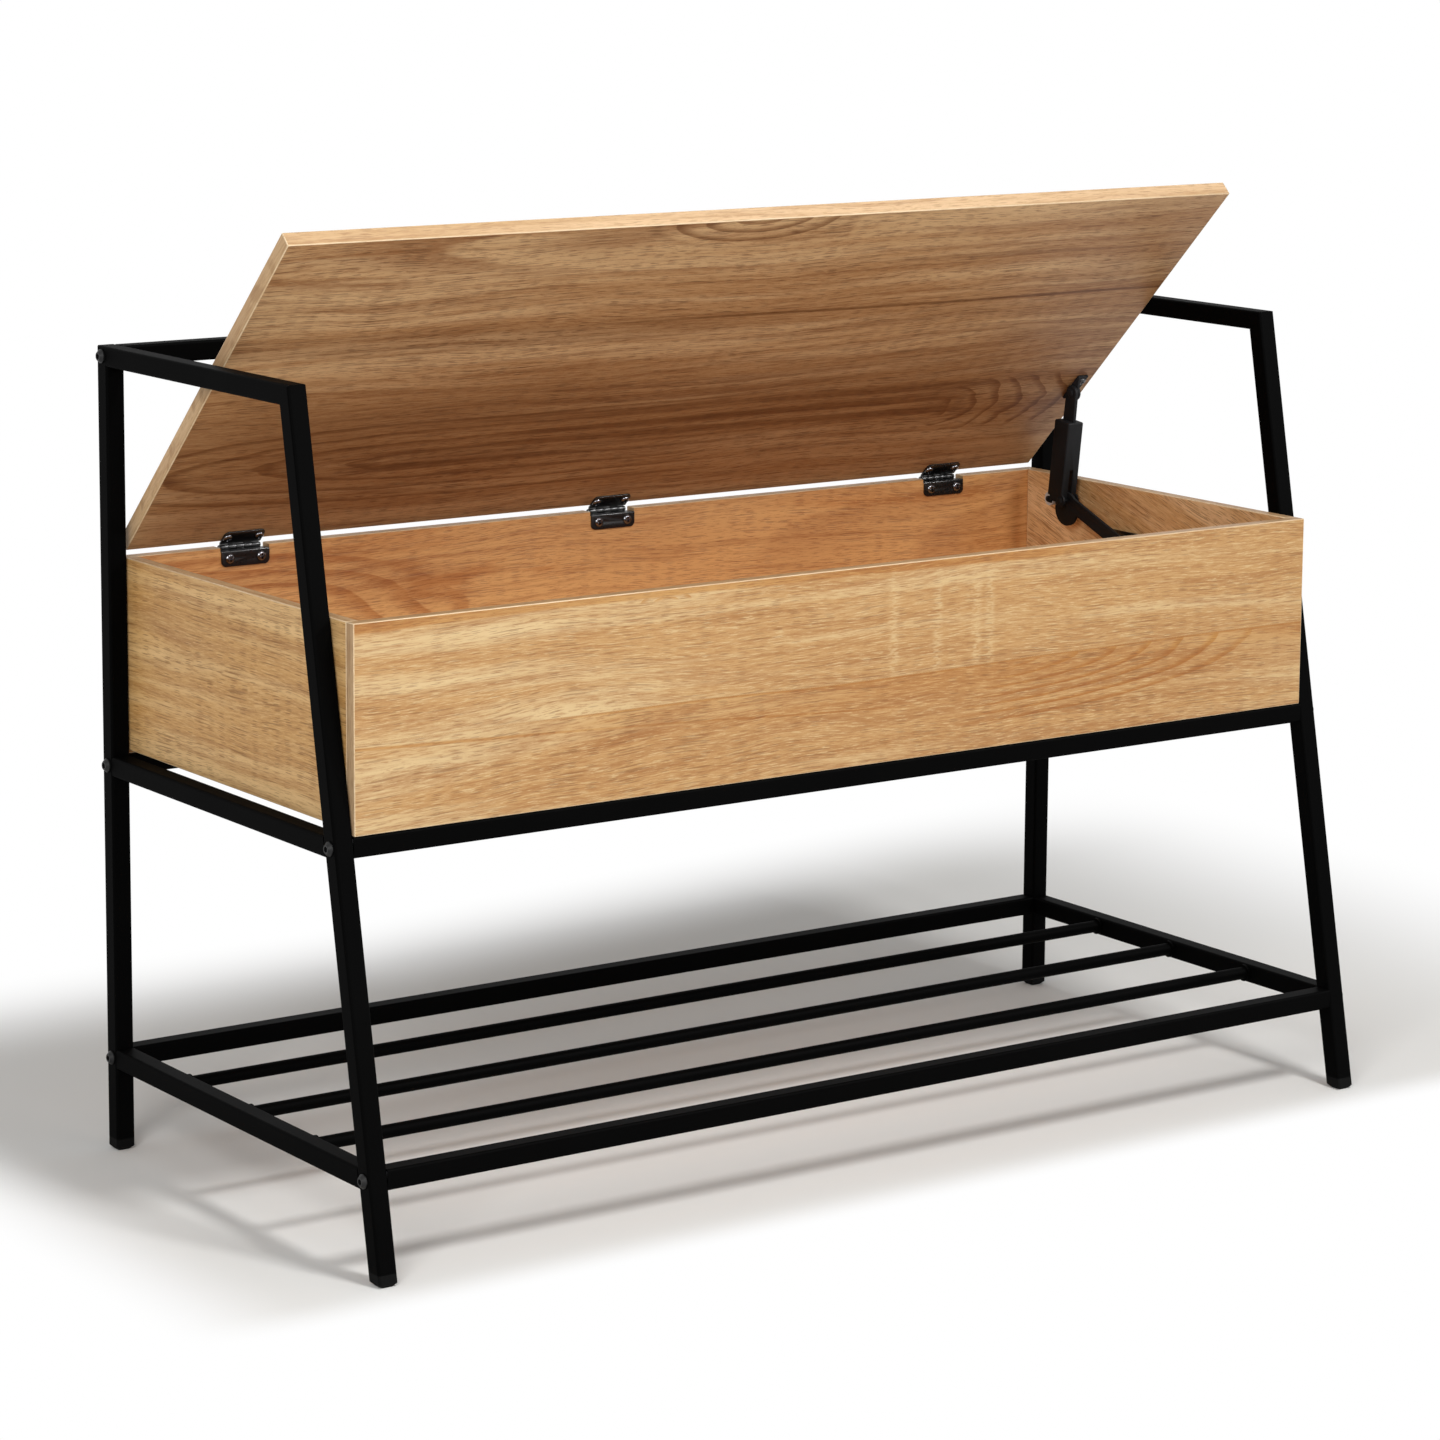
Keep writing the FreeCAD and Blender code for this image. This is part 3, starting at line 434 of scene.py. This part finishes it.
def grained(g, at, grain, deep, worn):
    """The coat grain in a material, with the size of its peel and its two screen colours."""
    group = g.node("ShaderNodeGroup", node_tree=coat_grain)
    g.feed(group.inputs["Vector"], at)
    g.feed(group.inputs["Scale"], grain)
    g.feed(group.inputs["Deep"], screen(*deep))
    g.feed(group.inputs["Worn"], screen(*worn))
    return group


def coated(name, deep, worn, grain, low_roughness, bump, gloss=0.5):
    """A painted or moulded surface."""
    material, g, shader, at = new_material(name)
    finish_surface(g, shader, grained(g, at, grain, deep, worn), low_roughness, bump, 0.0002)
    g.feed(shader.inputs["Specular IOR Level"], gloss)
    return material


def bright_steel(name, colour, low_roughness):
    """Plated steel, a little duller where it has been handled."""
    material, g, shader, at = new_material(name)
    dull = [value * 0.82 for value in colour]
    finish_surface(g, shader, grained(g, at, 700.0, colour, dull), low_roughness, 0.1, 0.0001)
    g.feed(shader.inputs["Metallic"], 1.0)
    return material


# Screen colours of each print: pale, tan and brown wood, its pores, and the stain of its darker figure.
# The sets differ from face to face partly as the prints do and partly as painted light and shade: each face's
# tones carry the brightness that the light gives that face.
BOX_TONES = ((203, 175, 129), (181, 140, 89), (150, 100, 52), (106, 66, 32), (224, 188, 130))
SIDE_TONES = ((224, 185, 128), (200, 153, 92), (160, 110, 57), (118, 78, 40), (224, 190, 150))
SLANT_TONES = ((230, 194, 146), (206, 162, 108), (168, 120, 72), (124, 84, 48), (224, 190, 150))
INSIDE_TONES = ((216, 164, 104), (194, 134, 76), (152, 90, 44), (108, 64, 32), (205, 165, 125))
LID_TONES = ((208, 172, 127), (180, 137, 92), (132, 84, 47), (80, 47, 25), (156, 124, 94))
BAND_TONES = ((194, 162, 124), (176, 142, 102), (150, 112, 74), (128, 92, 60), (220, 190, 150))
LID_BAND_TONES = ((216, 182, 142), (198, 162, 118), (170, 128, 86), (142, 104, 70), (220, 190, 150))
# The pale line of the rounded edges: the banding's trimmed edge, and partly a painted highlight
EDGE_TONES = ((222, 198, 162), (208, 180, 142), (188, 154, 114), (164, 128, 90), (230, 210, 180))

# Turns that bring the grain of a face or a band onto X
FACE = (-QUARTER, 0, 0)
SIDE = (-QUARTER, -QUARTER, 0)
SLANT = (-QUARTER, -QUARTER, math.radians(-19.0))
LID = (LID_ANGLE, 0, 0)
LID_END = (LID_ANGLE, 0, -QUARTER)
ALONG = (0, 0, 0)
ACROSS = (0, 0, -QUARTER)
UPRIGHT = (0, QUARTER, 0)

finishes = {
    "frame_steel": coated("black_powder_coat", (3, 3, 3), (6, 6, 6), 900.0, 0.42, 0.12, gloss=0.015),
    "foot_plastic": coated("black_foot_plastic", (6, 6, 6), (11, 11, 11), 1400.0, 0.5, 0.2, gloss=0.06),
    "bolt_steel": coated("black_bolt_oxide", (10, 10, 10), (22, 22, 22), 1600.0, 0.3, 0.1, gloss=0.3),
    "plug_steel": bright_steel("zinc_plug", (150, 150, 152), 0.35),
    "dowel_wood": oak("beech_dowel", BAND_TONES, ACROSS),
    "hinge_steel": coated("gloss_black_hinge", (8, 8, 9), (16, 16, 18), 500.0, 0.16, 0.03, gloss=0.5),
    "screw_steel": bright_steel("black_nickel_screw", (122, 122, 126), 0.06),
    "stay_steel": coated("speckled_black_stay", (16, 16, 17), (50, 50, 53), 1500.0, 0.45, 0.35, gloss=0.12),
    "roller_plastic": coated("grey_roller", (176, 178, 178), (198, 200, 200), 1200.0, 0.35, 0.1),
}
bracket_gloss = coated("gloss_black_bracket", (8, 7, 7), (16, 15, 15), 500.0, 0.14, 0.05, gloss=0.9)
black_screw = coated("black_oxide_screw", (12, 12, 13), (24, 24, 26), 800.0, 0.16, 0.05, gloss=0.7)

# Each face takes its own tone set, which in part paints the light and shade that fall on that face
oak_front = oak("oak_front", BOX_TONES, FACE, place=(0.35, 0.21, 0.0), figure=0.35, pores=0.4, flecks=0.75,
                marks=front_marks)
oak_inside = oak("oak_inside", INSIDE_TONES, FACE, place=(1.7, 0.3, 0.5), figure=0.35, pores=0.35, flecks=0.5,
                 marks=inside_marks)
oak_plain_inside = oak("oak_plain_inside", INSIDE_TONES, FACE, place=(2.9, 0.8, 0.3), figure=0.4, pores=0.5,
                       flecks=0.5)
oak_back = oak("oak_back", BOX_TONES, FACE, place=(5.3, 0.6, 0.9), figure=0.45, pores=0.45, flecks=0.6)
oak_floor = oak("oak_floor", INSIDE_TONES, ALONG, place=(0.7, 1.3, 0.2), figure=0.5, pores=0.45, flecks=0.4)
oak_side = oak("oak_side", SIDE_TONES, SIDE, place=(0.6, 0.9, 0.1), figure=0.45, pores=0.55, flecks=0.5)
oak_side_slant = oak("oak_side_slant", SLANT_TONES, SLANT, place=(1.6, 0.2, 0.7), figure=0.5, pores=0.6,
                     flecks=0.5)
oak_lid_under = oak("oak_lid_under", LID_TONES, LID, place=(2.1, 0.4, 0.0), figure=0.7, rings=15.0, pores=0.5,
                    flecks=0.35, marks=lid_marks)
oak_lid_top = oak("oak_lid_top", BOX_TONES, LID, place=(4.4, 1.2, 0.7), figure=0.5, flecks=0.6)
band_long = oak("oak_band_long", BAND_TONES, ALONG, place=(0.2, 0.7, 0.9), figure=0.2, pores=0.35)
band_across = oak("oak_band_across", BAND_TONES, ACROSS, place=(0.9, 0.1, 0.4), figure=0.2, pores=0.35)
band_upright = oak("oak_band_upright", BAND_TONES, UPRIGHT, place=(0.4, 0.2, 0.8), figure=0.2, pores=0.35)
band_lid = oak("oak_band_lid", LID_BAND_TONES, ALONG, place=(0.2, 0.7, 0.9), figure=0.2, pores=0.35)
band_lid_end = oak("oak_band_lid_end", LID_BAND_TONES, LID_END, place=(0.1, 0.5, 0.3), figure=0.2, pores=0.35)
# The pale line on every rounded edge, partly a painted highlight
pale_edge = oak("oak_pale_edge", EDGE_TONES, ALONG, place=(0.5, 0.5, 0.5), figure=0.1, pores=0.15)

for part in frame["record"]["subparts"]:
    if part["material_slot"] in finishes:
        mesh = nodes[part["node"]].data
        mesh.materials.clear()
        mesh.materials.append(finishes[part["material_slot"]])


# Pieces

# A board's material slots, after slot 0 for its inner face
LONG_BAND = 1
END_BAND = 2
PALE_LINE = 3
OUTSIDE = 4

HINGES = ("left", "middle", "right")

# Sizes in metres
EDGE = 0.0007
NOTCH_SLACK = 0.0005
NOTCH_FLOOR = 0.4477
SHORTEST_EASED = 0.008

LID_HALF_LENGTH = 0.43
LID_DEPTH = 0.348
LID_THICKNESS = 0.012
LID_BEFORE_PIN = 0.0055
LID_ABOVE_PIN = 0.002

SCREW_HEAD = 0.0038
SCREW_RISE = 0.0015
SCREW_REACH = 0.008
HINGE_SCREW_OFFSET = 0.0135
LID_LEAF_SCREW_REACH = 0.0102
LID_LEAF_ABOVE_PIN = 0.0008
STAY_LID_SCREW_REACHES = (0.10337, 0.11937)
LEAF_EASING = 0.0005
STAY_EASING = 0.0004


def piece(name, bm, materials, body, replaced):
    """Makes a finished mesh into a piece that rides on a body and stands for a CAD node."""
    mesh = bpy.data.meshes.new(name)
    bm.to_mesh(mesh)
    bm.free()
    for material in materials:
        mesh.materials.append(material)
    made = bpy.data.objects.new(name, mesh)
    bpy.context.scene.collection.objects.link(made)
    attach(made, body)
    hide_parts(replaced)


def box_mesh(low, high):
    """A plain block between two corners."""
    bm = bmesh.new()
    bmesh.ops.create_cube(bm, size=1.0)
    bmesh.ops.scale(bm, vec=high - low, verts=bm.verts)
    bmesh.ops.translate(bm, vec=(low + high) / 2, verts=bm.verts)
    return bm


def looking(bm, axis, index):
    """Gives the faces that look along an axis a material."""
    for face in bm.faces:
        if face.normal.dot(axis) > 0.99:
            face.material_index = index


def banded(bm, long_axis, end_axis, outside):
    """Gives a board's long edges, its ends and its outer face their materials."""
    for axis, index in ((long_axis, LONG_BAND), (end_axis, END_BAND)):
        looking(bm, axis, index)
        looking(bm, -axis, index)
    looking(bm, outside, OUTSIDE)


def eased(bm, edges):
    """Rounds a board's edges and gives the rounded strip the pale line's material, which is partly edge banding
    and partly a painted highlight.
    """
    made = bmesh.ops.bevel(bm, geom=edges, offset=EDGE, offset_type="OFFSET", affect="EDGES", segments=2,
                           profile=0.5, material=-1, clamp_overlap=True)
    for face in made["faces"]:
        face.material_index = PALE_LINE
        face.smooth = True


def creased(bm, degrees):
    """Keeps sharp only the edges that turn by more than an angle."""
    for edge in bm.edges:
        edge.smooth = not edge.is_manifold or edge.calc_face_angle() < math.radians(degrees)


def board(side, inside, outside, outward, end_axis, top_band):
    """A laminated board: printed faces, banded edges and a thin pale line where they meet, which is partly a
    painted highlight.
    """
    low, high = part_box("box_" + side)
    bm = box_mesh(low, high)
    banded(bm, UP, end_axis, outward)
    eased(bm, list(bm.edges))
    materials = [inside, top_band, band_upright, pale_edge, outside]
    piece("oak_" + side, bm, materials, "bench", "box_" + side)


def rear_board():
    """The rear board, with a notch in its top for each hinge."""
    low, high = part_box("box_rear_board")
    outline = [(low.x, low.z), (high.x, low.z), (high.x, high.z)]
    for side in reversed(HINGES):
        leaf_low, leaf_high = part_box("hinge_box_leaf_" + side)
        left = leaf_low.x - NOTCH_SLACK
        right = leaf_high.x + NOTCH_SLACK
        outline += [(right, high.z), (right, NOTCH_FLOOR), (left, NOTCH_FLOOR), (left, high.z)]
    outline.append((low.x, high.z))
    bm = bmesh.new()
    face = bm.faces.new([bm.verts.new((x, low.y, z)) for x, z in outline])
    made = bmesh.ops.extrude_face_region(bm, geom=[face])
    moved = [item for item in made["geom"] if isinstance(item, bmesh.types.BMVert)]
    bmesh.ops.translate(bm, vec=(0, high.y - low.y, 0), verts=moved)
    bmesh.ops.recalc_face_normals(bm, faces=bm.faces)
    banded(bm, UP, X_AXIS, Y_AXIS)
    eased(bm, [edge for edge in bm.edges if edge.calc_length() > SHORTEST_EASED])
    materials = [oak_inside, band_long, band_upright, pale_edge, oak_back]
    piece("oak_rear_board", bm, materials, "bench", "box_rear_board")


def lid_slab():
    """The lid, built flat about the hinge axis and swung up to its resting angle."""
    back = LID_AXIS.y - LID_BEFORE_PIN
    under = LID_AXIS.z + LID_ABOVE_PIN
    bm = box_mesh(Vector((-LID_HALF_LENGTH, back - LID_DEPTH, under)),
                  Vector((LID_HALF_LENGTH, back, under + LID_THICKNESS)))
    banded(bm, Y_AXIS, X_AXIS, UP)
    eased(bm, list(bm.edges))
    bmesh.ops.rotate(bm, cent=LID_AXIS, matrix=LID_SWING, verts=bm.verts)
    materials = [oak_lid_under, band_lid, band_lid_end, pale_edge, oak_lid_top]
    piece("oak_lid", bm, materials, "lid", "lid_board")


def pressed(node, body, width, finish):
    """A copy of a steel piece with its sharp edges rounded, so that they catch the light."""
    bm = bmesh.new()
    bm.from_mesh(nodes[node].data)
    bmesh.ops.remove_doubles(bm, verts=bm.verts, dist=0.000001)
    bmesh.ops.dissolve_limit(bm, angle_limit=math.radians(2.0), verts=bm.verts, edges=bm.edges)
    sharp = [edge for edge in bm.edges if edge.is_manifold and edge.calc_face_angle() > math.radians(40.0)]
    bmesh.ops.bevel(bm, geom=sharp, offset=width, offset_type="OFFSET", affect="EDGES", segments=3,
                    profile=0.5, material=-1, clamp_overlap=True)
    for face in bm.faces:
        face.smooth = True
    creased(bm, 32.0)
    piece("pressed_" + node, bm, [finish], body, node)


def cross_screw(bm, seat, direction):
    """A pan head with a cross recess on a plain shank. The head stands on its seat along a direction."""
    before = set(bm.verts)
    profile = ((0.4, -SCREW_REACH), (0.4, 0.0), (1.0, 0.0), (1.0, 0.3 * SCREW_RISE), (0.9, 0.68 * SCREW_RISE),
               (0.66, SCREW_RISE))
    points = [bm.verts.new((share * SCREW_HEAD, 0, level)) for share, level in profile]
    edges = [bm.edges.new(pair) for pair in zip(points, points[1:])]
    bmesh.ops.spin(bm, geom=points + edges, axis=UP, cent=(0, 0, 0), angle=2 * math.pi, steps=24,
                   use_merge=True)
    rims = [edge for edge in bm.edges if edge.is_boundary and edge.verts[0] not in before]
    bmesh.ops.edgeloop_fill(bm, edges=[edge for edge in rims if edge.verts[0].co.z < 0])

    arm = 0.5 * SCREW_HEAD
    slot = 0.13 * SCREW_HEAD
    outline = []
    for quarter in range(4):
        turn = Matrix.Rotation(quarter * QUARTER, 2)
        outline += [turn @ Vector(corner) for corner in ((arm, slot), (slot, slot), (slot, arm))]
    recess = bm.faces.new([bm.verts.new((x, y, 1.03 * SCREW_RISE)) for x, y in outline])
    top_rim = [edge for edge in rims if edge.verts[0].co.z > 0]
    bmesh.ops.bridge_loops(bm, edges=top_rim + list(recess.edges))
    sunk = bmesh.ops.extrude_discrete_faces(bm, faces=[recess])["faces"][0]
    bmesh.ops.scale(bm, vec=(0.62, 0.62, 1.0), verts=sunk.verts)
    bmesh.ops.translate(bm, vec=(0, 0, -0.85 * SCREW_RISE), verts=sunk.verts)

    made = [vert for vert in bm.verts if vert not in before]
    for face in {face for vert in made for face in vert.link_faces}:
        face.smooth = len(face.verts) == 4
    place = Matrix.Translation(seat) @ UP.rotation_difference(direction).to_matrix().to_4x4()
    bmesh.ops.transform(bm, matrix=place, verts=made)


def screws(name, places, body, finish, node):
    """One piece of all the screws that stand on a list of seats."""
    bm = bmesh.new()
    for seat, direction in places:
        cross_screw(bm, seat, direction)
    bmesh.ops.recalc_face_normals(bm, faces=bm.faces)
    creased(bm, 38.0)
    piece(name, bm, [finish], body, node)


def hinge_hardware():
    """Three hinges, with two screws in each leaf."""
    low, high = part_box("hinge_box_screws")
    height = (low.z + high.z) / 2
    box_places = []
    lid_places = []
    for side in HINGES:
        low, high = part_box("hinge_box_leaf_" + side)
        middle = (low.x + high.x) / 2
        for x in (middle - HINGE_SCREW_OFFSET, middle + HINGE_SCREW_OFFSET):
            box_places.append((Vector((x, low.y, height)), -Y_AXIS))
            under = Vector((x, -LID_LEAF_SCREW_REACH, LID_LEAF_ABOVE_PIN))
            lid_places.append((LID_AXIS + LID_SWING @ under, LID_SWING @ -UP))
        for leaf, body in (("hinge_box_leaf_", "bench"), ("hinge_lid_leaf_", "lid")):
            pressed(leaf + side, body, LEAF_EASING, finishes["hinge_steel"])
    screws("hinge_screws_in_box", box_places, "bench", finishes["screw_steel"], "hinge_box_screws")
    screws("hinge_screws_in_lid", lid_places, "lid", finishes["screw_steel"], "hinge_lid_screws")


def stay_hardware():
    """The folding stay at the right end, with the screws that hold its two brackets."""
    coat = finishes["stay_steel"]
    for node, body, finish in (("stay_housing", "stay_link", coat), ("stay_upper_arm", "stay_link", coat),
                               ("stay_lower_arm", "stay_arm", coat), ("stay_lid_bracket", "lid", coat),
                               ("stay_base_bracket", "bench", bracket_gloss)):
        pressed(node, body, STAY_EASING, finish)
    low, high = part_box("stay_base_screws")
    height = (low.z + high.z) / 2
    base_places = []
    for y in (high.y - SCREW_HEAD, low.y + SCREW_HEAD):
        base_places.append((Vector((low.x + SCREW_RISE, y, height)), -X_AXIS))
    low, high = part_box("stay_lid_screws")
    middle = (low.x + high.x) / 2
    lid_places = []
    for reach in STAY_LID_SCREW_REACHES:
        lid_places.append((LID_AXIS + LID_SWING @ Vector((middle, -reach, 0.0)), LID_SWING @ -UP))
    screws("stay_screws_in_box", base_places, "bench", black_screw, "stay_base_screws")
    screws("stay_screws_in_lid", lid_places, "lid", black_screw, "stay_lid_screws")


board("front_board", oak_plain_inside, oak_front, -Y_AXIS, X_AXIS, band_long)
board("left_board", oak_side, oak_side, -X_AXIS, Y_AXIS, band_across)
board("right_board", oak_side_slant, oak_side, X_AXIS, Y_AXIS, band_across)
rear_board()
lid_slab()
hinge_hardware()
stay_hardware()
floor_board = nodes["box_bottom_board"].data
floor_board.materials.clear()
floor_board.materials.append(oak_floor)


# Stage, light and camera

# The floor fades to white between each pair of places, in metres from the middle of the bench
FADE_LEFT = (-0.5, -0.62)
FADE_RIGHT = (0.6, 1.05)
FADE_FRONT = (-0.195, -0.25)
FADE_BACK = (0.44, 0.7)
FADE_BACK_SLANT = 0.12
FILL_LIGHT = 0.35

# Each lamp's name, place, target, size in metres and power in watts
LAMPS = (
    ("front_top", (0.27, -1.95, 2.77), (0.0, 0.0, 0.25), 0.55, 47.0),
    ("front_left", (-2.6, -2.2, 1.9), (0.0, 0.0, 0.35), 1.3, 55.0),
    ("front_low", (0.9, -3.4, 0.7), (0.0, 0.0, 0.5), 1.8, 26.0),
    ("right_glint", (1.76, -1.95, 2.05), (0.0, 0.2, 0.45), 0.6, 60.0),
)

# The camera, with its focal length and its shift in pixels of a square picture
PICTURE = 1440
FOCAL_PIXELS = 4439.25
SHIFT_RIGHT = 80
SHIFT_UP = -180
SENSOR = 36.0
EYE = (-1.94209, -2.70944, 0.98624)
TURN = math.radians(-34.202)
TILT = math.radians(9.101)
ROLL = math.radians(0.259)


def seen_directly(g):
    """One for the rays that show a thing as it is: those of the camera, of mirrors and of glass."""
    path = g.node("ShaderNodeLightPath")
    mirrored = g.math("MAXIMUM", path.outputs["Is Glossy Ray"], path.outputs["Is Transmission Ray"])
    return g.math("MAXIMUM", path.outputs["Is Camera Ray"], mirrored)


def white_floor():
    """A floor that takes the bench's shadow and fades into the white background away from it."""
    bm = bmesh.new()
    bmesh.ops.create_grid(bm, x_segments=1, y_segments=1, size=30.0)
    mesh = bpy.data.meshes.new("floor")
    bm.to_mesh(mesh)
    bm.free()
    floor = bpy.data.objects.new("floor", mesh)
    bpy.context.scene.collection.objects.link(floor)

    material, g, shader, at = new_material("white_floor")
    g.feed(shader.inputs["Base Color"], screen(238, 237, 234))
    g.feed(shader.inputs["Roughness"], 0.8)
    g.feed(shader.inputs["Specular IOR Level"], 0.1)
    x, y = g.split(at)[:2]
    beside = g.math("MAXIMUM", g.fade(x, *FADE_LEFT), g.fade(x, *FADE_RIGHT))
    behind = g.math("SUBTRACT", y, g.math("MULTIPLY", g.math("MAXIMUM", x, 0.0), FADE_BACK_SLANT))
    beyond = g.math("MAXIMUM", g.fade(y, *FADE_FRONT), g.fade(behind, *FADE_BACK))
    near = g.math("MULTIPLY", g.math("SUBTRACT", 1.0, beside), g.math("SUBTRACT", 1.0, beyond))
    away = g.math("SUBTRACT", 1.0, near)
    blend = g.node("ShaderNodeMixShader")
    g.feed(blend.inputs[0], g.math("MULTIPLY", away, seen_directly(g)))
    g.feed(blend.inputs[1], shader.outputs[0])
    g.feed(blend.inputs[2], g.node("ShaderNodeEmission").outputs[0])
    g.feed(material.node_tree.nodes["Material Output"].inputs["Surface"], blend.outputs[0])
    mesh.materials.append(material)


def white_world():
    """A background that is plain white to look at and only a soft fill as a light."""
    world = bpy.data.worlds.new("white_studio")
    bpy.context.scene.world = world
    world.use_nodes = True
    g = Graph(world.node_tree)
    back = world.node_tree.nodes["Background"]
    g.feed(back.inputs["Color"], (1.0, 1.0, 1.0, 1.0))
    g.feed(back.inputs["Strength"], g.fade(seen_directly(g), 0.0, 1.0, FILL_LIGHT, 1.0))


def lamps():
    """Soft lamps from the front. The glint shows only as a highlight, on the hinges above all."""
    for name, place, target, size, watts in LAMPS:
        lamp = bpy.data.lights.new(name, "AREA")
        lamp.shape = "SQUARE"
        lamp.size = size
        lamp.energy = watts
        made = bpy.data.objects.new(name, lamp)
        made.location = place
        made.rotation_euler = (Vector(target) - Vector(place)).to_track_quat("-Z", "Y").to_euler()
        made.visible_diffuse = name != "right_glint"
        bpy.context.scene.collection.objects.link(made)


def camera():
    """A long lens from the front left, slightly above, as the bench was photographed."""
    lens = bpy.data.cameras.new("camera")
    lens.sensor_width = SENSOR
    lens.lens = FOCAL_PIXELS / PICTURE * SENSOR
    lens.shift_x = SHIFT_RIGHT / PICTURE
    lens.shift_y = SHIFT_UP / PICTURE
    lens.clip_end = 100.0
    made = bpy.data.objects.new("camera", lens)
    made.location = EYE
    level = math.cos(TILT)
    look = Vector((-math.sin(TURN) * level, math.cos(TURN) * level, -math.sin(TILT)))
    made.rotation_mode = "QUATERNION"
    made.rotation_quaternion = look.to_track_quat("-Z", "Y") @ Matrix.Rotation(ROLL, 3, "Z").to_quaternion()
    bpy.context.scene.collection.objects.link(made)
    bpy.context.scene.camera = made


white_floor()
white_world()
lamps()
camera()
bpy.context.scene.view_settings.view_transform = "Standard"
